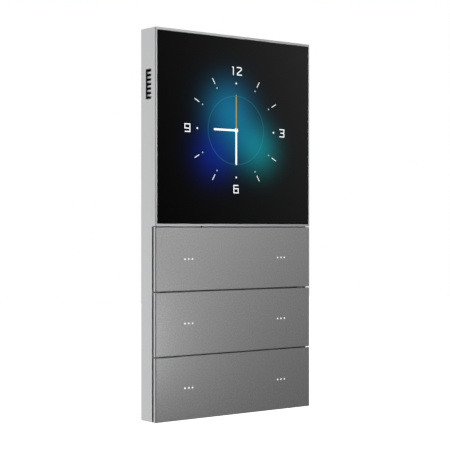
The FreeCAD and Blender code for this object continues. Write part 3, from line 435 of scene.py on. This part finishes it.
# Each numeral's strokes, from the numeral's lower left corner
STROKE = 0.42
NUMERAL_MIDDLE = Vector((1.65, 2.05))
NUMERAL_SCALE = 0.92
NUMERALS = {
    "1": [[(0.2, 3.8), (0.95, 3.8), (0.95, 0.0)]],
    "2": [[(0.1, 3.8), (2.4, 3.8), (2.85, 3.4), (2.85, 2.75), (0.45, 0.95), (0.45, 0.31), (3.2, 0.31)]],
    "3": [[(0.0, 3.8), (2.9, 3.8), (2.9, 2.6), (2.45, 2.1), (2.9, 1.6), (2.9, 0.31), (0.0, 0.31)],
          [(0.7, 2.1), (2.45, 2.1)]],
    "6": [[(3.0, 3.8), (0.31, 3.8), (0.31, 0.31), (2.95, 0.31), (2.95, 2.25), (0.62, 2.25)]],
    "9": [[(0.4, 0.31), (3.3, 0.31), (3.3, 3.8), (0.4, 3.8), (0.4, 1.85), (3.0, 1.85)]],
}
NUMERAL_PLACES = [("1", (-2.6, 23.85)), ("2", (0.1, 23.85)), ("3", (24.7, -2.1)), ("6", (-1.75, -27.65)),
                  ("9", (-28.4, -2.1))]


def edges_of(points, width, closed):
    """The left and right edges of a line of even width, mitred at its corners."""
    count = len(points)
    left, right = [], []
    for i, point in enumerate(points):
        ways = []
        if i or closed:
            ways.append((point - points[i - 1]).normalized())
        if i + 1 < count or closed:
            ways.append((points[(i + 1) % count] - point).normalized())
        way = sum(ways, Vector((0.0, 0.0))).normalized()
        side = Vector((-way.y, way.x)) * (width / 2 / way.dot(ways[0]))
        left.append(point + side)
        right.append(point - side)
    return left, right


def round_end(centre, way, radius, steps=6):
    """The left and right edges of a half disc that carries on past a line's end."""
    way = way.normalized()
    side = Vector((-way.y, way.x))
    turns = [math.pi / 2 * i / steps for i in range(1, steps)]
    along = [centre + way * radius * math.sin(turn) for turn in turns]
    halves = [side * radius * math.cos(turn) for turn in turns]
    return [p + h for p, h in zip(along, halves)], [p - h for p, h in zip(along, halves)]


def strip(mesh, left, right, closed):
    """A thin closed plate between two edges."""
    layers = [[mesh.verts.new((p.x, y, p.y)) for p in edge]
              for edge in (left, right) for y in (FACE_Y - MARK_THICKNESS, FACE_Y)]
    left_front, left_back, right_front, right_back = layers
    around = [left_front, right_front, right_back, left_back]
    count = len(left)
    for i in range(count if closed else count - 1):
        j = (i + 1) % count
        for k, edge in enumerate(around):
            after = around[(k + 1) % 4]
            mesh.faces.new((edge[i], edge[j], after[j], after[i]))
    if not closed:
        mesh.faces.new([edge[0] for edge in around])
        mesh.faces.new([edge[-1] for edge in around[::-1]])


def line(mesh, points, width, closed=False, round_ends=False):
    """A line of even width as a thin plate."""
    points = [Vector(p) * MM + CLOCK for p in points]
    left, right = edges_of(points, width * MM, closed)
    if round_ends:
        start_right, start_left = round_end(points[0], points[0] - points[1], width * MM / 2)
        end_left, end_right = round_end(points[-1], points[-1] - points[-2], width * MM / 2)
        left = start_left[::-1] + left + end_left
        right = start_right[::-1] + right + end_right
    strip(mesh, left, right, closed)


def disc(mesh, centre, radius):
    """A round plate: a very short line with round ends."""
    x, z = centre
    line(mesh, [(x - 0.01, z), (x + 0.01, z)], 2 * radius, round_ends=True)


def on_dial(hour, radius):
    """The place at an hour, at some distance from the dial's centre."""
    angle = 2 * math.pi * hour / 12
    return (radius * STRETCH_X * math.sin(angle), radius * math.cos(angle))


def piece(name, build, material):
    """A piece of the picture, built by a function that fills its mesh."""
    mesh = bmesh.new()
    build(mesh)
    bmesh.ops.recalc_face_normals(mesh, faces=mesh.faces)
    data = bpy.data.meshes.new(name)
    mesh.to_mesh(data)
    mesh.free()
    made = bpy.data.objects.new(name, data)
    bpy.context.scene.collection.objects.link(made)
    data.materials.append(material)
    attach(made, "panel")


def numerals(mesh):
    for digit, corner in NUMERAL_PLACES:
        middle = Vector(corner) + NUMERAL_MIDDLE
        for points in NUMERALS[digit]:
            line(mesh, [middle + (Vector(p) - NUMERAL_MIDDLE) * NUMERAL_SCALE for p in points], STROKE)


def quarter_dots(mesh):
    for hour in range(0, 12, 3):
        disc(mesh, on_dial(hour, DOT_CIRCLE), QUARTER_DOT)


def hour_dots(mesh):
    for hour in range(12):
        if hour % 3:
            disc(mesh, on_dial(hour, DOT_CIRCLE), HOUR_DOT)


def hour_ticks(mesh):
    for hour in range(12):
        if hour % 3:
            line(mesh, [on_dial(hour, end) for end in TICK_ENDS], TICK_WIDTH)


def dial_ring(mesh):
    points = [on_dial(12 * i / RING_POINTS, RING_RADIUS) for i in range(RING_POINTS)]
    line(mesh, points, RING_WIDTH, closed=True)


def hour_hand(mesh):
    length, width = HOUR_HAND
    line(mesh, [(0.0, 0.0), (length, 0.0)], width, round_ends=True)


def minute_hand(mesh):
    length, width = MINUTE_HAND
    line(mesh, [(0.0, 0.0), (0.0, length)], width, round_ends=True)


def second_hand(mesh):
    length, width = SECOND_HAND
    line(mesh, [(0.0, 0.0), (0.0, length)], width, round_ends=True)


def hub(mesh):
    disc(mesh, (0.0, 0.0), HUB_RADIUS)


white_light = lit_mark("white_light", WHITE, 1.2)
piece("clock_numerals", numerals, white_light)
piece("clock_quarter_dots", quarter_dots, white_light)
piece("clock_hour_dots", hour_dots, lit_mark("pale_light", PALE))
piece("clock_hour_ticks", hour_ticks, lit_mark("tick_light", OFF_WHITE, 1.35))
piece("clock_ring", dial_ring, glowing_line("teal_light", RING_EXTRA))
piece("clock_second_hand", second_hand, lit_mark("tan_light", TAN))
piece("clock_hour_hand", hour_hand, white_light)
piece("clock_minute_hand", minute_hand, white_light)
piece("clock_hub", hub, white_light)


# ---------------------------------------------------------------- studio


CAMERA_PLACE = Vector((-0.3542, -0.4503, -0.0019))
CAMERA_WAY = Vector((0.6207, 0.7840, 0.0))
CAMERA_LENS = 103.5
CAMERA_SHIFT_UP = 0.0098
CAMERA_NEAREST = 0.01

# Area lights: name, place, size and power. Each faces the middle of the keys
LIGHT_TARGET = Vector((0.0, -0.01, -0.03))
LIGHTS = [
    ("front", (0.325, -0.626, 0.115), 0.02, 0.4),
    ("near_keys", (-0.046, -0.080, -0.054), 0.01, 0.046),
]

# The surroundings' light from the right, from behind and from the lower left. The right one's logarithm
# rises with X and Z from a starting value
WORLD_RIGHT = 0.46
RIGHT_RISE_X = 15.7
RIGHT_RISE_Z = 5.8
RIGHT_START = -11.85
WORLD_BACK = 1.52
WORLD_LOW_LEFT = 0.4
LOW_LEFT_WAY = Vector((-0.65, -0.5, -0.57)).normalized()
LOW_LEFT_FOCUS = 8.0

FLOOR_Z = -0.45
FLOOR_HALF_SIZE = 6.0


def studio_camera():
    camera = bpy.data.objects.new("camera", bpy.data.cameras.new("camera"))
    bpy.context.scene.collection.objects.link(camera)
    camera.data.lens = CAMERA_LENS
    camera.data.shift_y = CAMERA_SHIFT_UP
    camera.data.clip_start = CAMERA_NEAREST
    camera.location = CAMERA_PLACE
    camera.rotation_euler = CAMERA_WAY.to_track_quat("-Z", "Y").to_euler()
    bpy.context.scene.camera = camera


def all_but_glass():
    """Tells the lights to leave the cover glass out, so that it doesn't show their images."""
    lit = bpy.data.collections.new("all_but_glass")
    lit.objects.link(frame["nodes"]["glass_lens"])
    lit.collection_objects[0].light_linking.link_state = "EXCLUDE"
    return lit


def studio_light(name, place, size, power, lit):
    light = bpy.data.lights.new(name, "AREA")
    light.shape = "DISK"
    light.size = size
    light.energy = power
    lamp = bpy.data.objects.new(name, light)
    bpy.context.scene.collection.objects.link(lamp)
    lamp.location = place
    lamp.rotation_euler = (LIGHT_TARGET - Vector(place)).to_track_quat("-Z", "Y").to_euler()
    lamp.visible_camera = False
    lamp.light_linking.receiver_collection = lit


def studio_world():
    """White to the camera. Its light is bright to the right and behind, weak at the lower left, else dark."""
    world = bpy.data.worlds.new("studio")
    world.use_nodes = True
    bpy.context.scene.world = world
    nodes = Nodes(world.node_tree)
    way = nodes.node("ShaderNodeTexCoord").outputs["Generated"]

    rise = nodes.maths("MULTIPLY_ADD", nodes.part(way, "X"), RIGHT_RISE_X, RIGHT_START)
    rise = nodes.maths("MULTIPLY_ADD", nodes.part(way, "Z"), RIGHT_RISE_Z, rise)
    right = nodes.maths("MINIMUM", nodes.maths("EXPONENT", rise), 1.0)
    behind = nodes.maths("POWER", nodes.maths("MAXIMUM", nodes.part(way, "Y"), 0.0), 2.0)
    facing = nodes.vectors("DOT_PRODUCT", way, LOW_LEFT_WAY)["Value"]
    low_left = nodes.maths("POWER", nodes.maths("MAXIMUM", facing, 0.0), LOW_LEFT_FOCUS)

    level = nodes.maths("MULTIPLY", right, WORLD_RIGHT)
    level = nodes.maths("MULTIPLY_ADD", behind, WORLD_BACK, level)
    level = nodes.maths("MULTIPLY_ADD", low_left, WORLD_LOW_LEFT, level)

    light = nodes.tree.nodes["Background"]
    nodes.put(light.inputs["Color"], level)
    white = nodes.node("ShaderNodeBackground", [("Color", grey(1.0))])
    seen = nodes.node("ShaderNodeLightPath").outputs["Is Camera Ray"]
    mix = nodes.node("ShaderNodeMixShader", [(0, seen), (1, light.outputs[0]), (2, white.outputs[0])])
    nodes.put(nodes.tree.nodes["World Output"].inputs["Surface"], mix.outputs[0])


def studio_floor():
    """A wide pale floor well under the object. It neither shades nor lights the object."""
    mesh = bmesh.new()
    bmesh.ops.create_grid(mesh, x_segments=8, y_segments=8, size=FLOOR_HALF_SIZE)
    data = bpy.data.meshes.new("floor")
    mesh.to_mesh(data)
    mesh.free()
    floor = bpy.data.objects.new("floor", data)
    bpy.context.scene.collection.objects.link(floor)
    floor.location.z = FLOOR_Z
    pale = Shader("floor", Base_Color=grey(0.9), Roughness=0.9, Emission_Color=grey(1.0),
                  Emission_Strength=1.0)
    data.materials.append(pale.material)
    floor.visible_diffuse = False
    floor.visible_glossy = False
    floor.visible_shadow = False


studio_camera()
studio_world()
studio_floor()
lit = all_but_glass()
for light in LIGHTS:
    studio_light(*light, lit)
bpy.context.scene.view_settings.view_transform = "Standard"
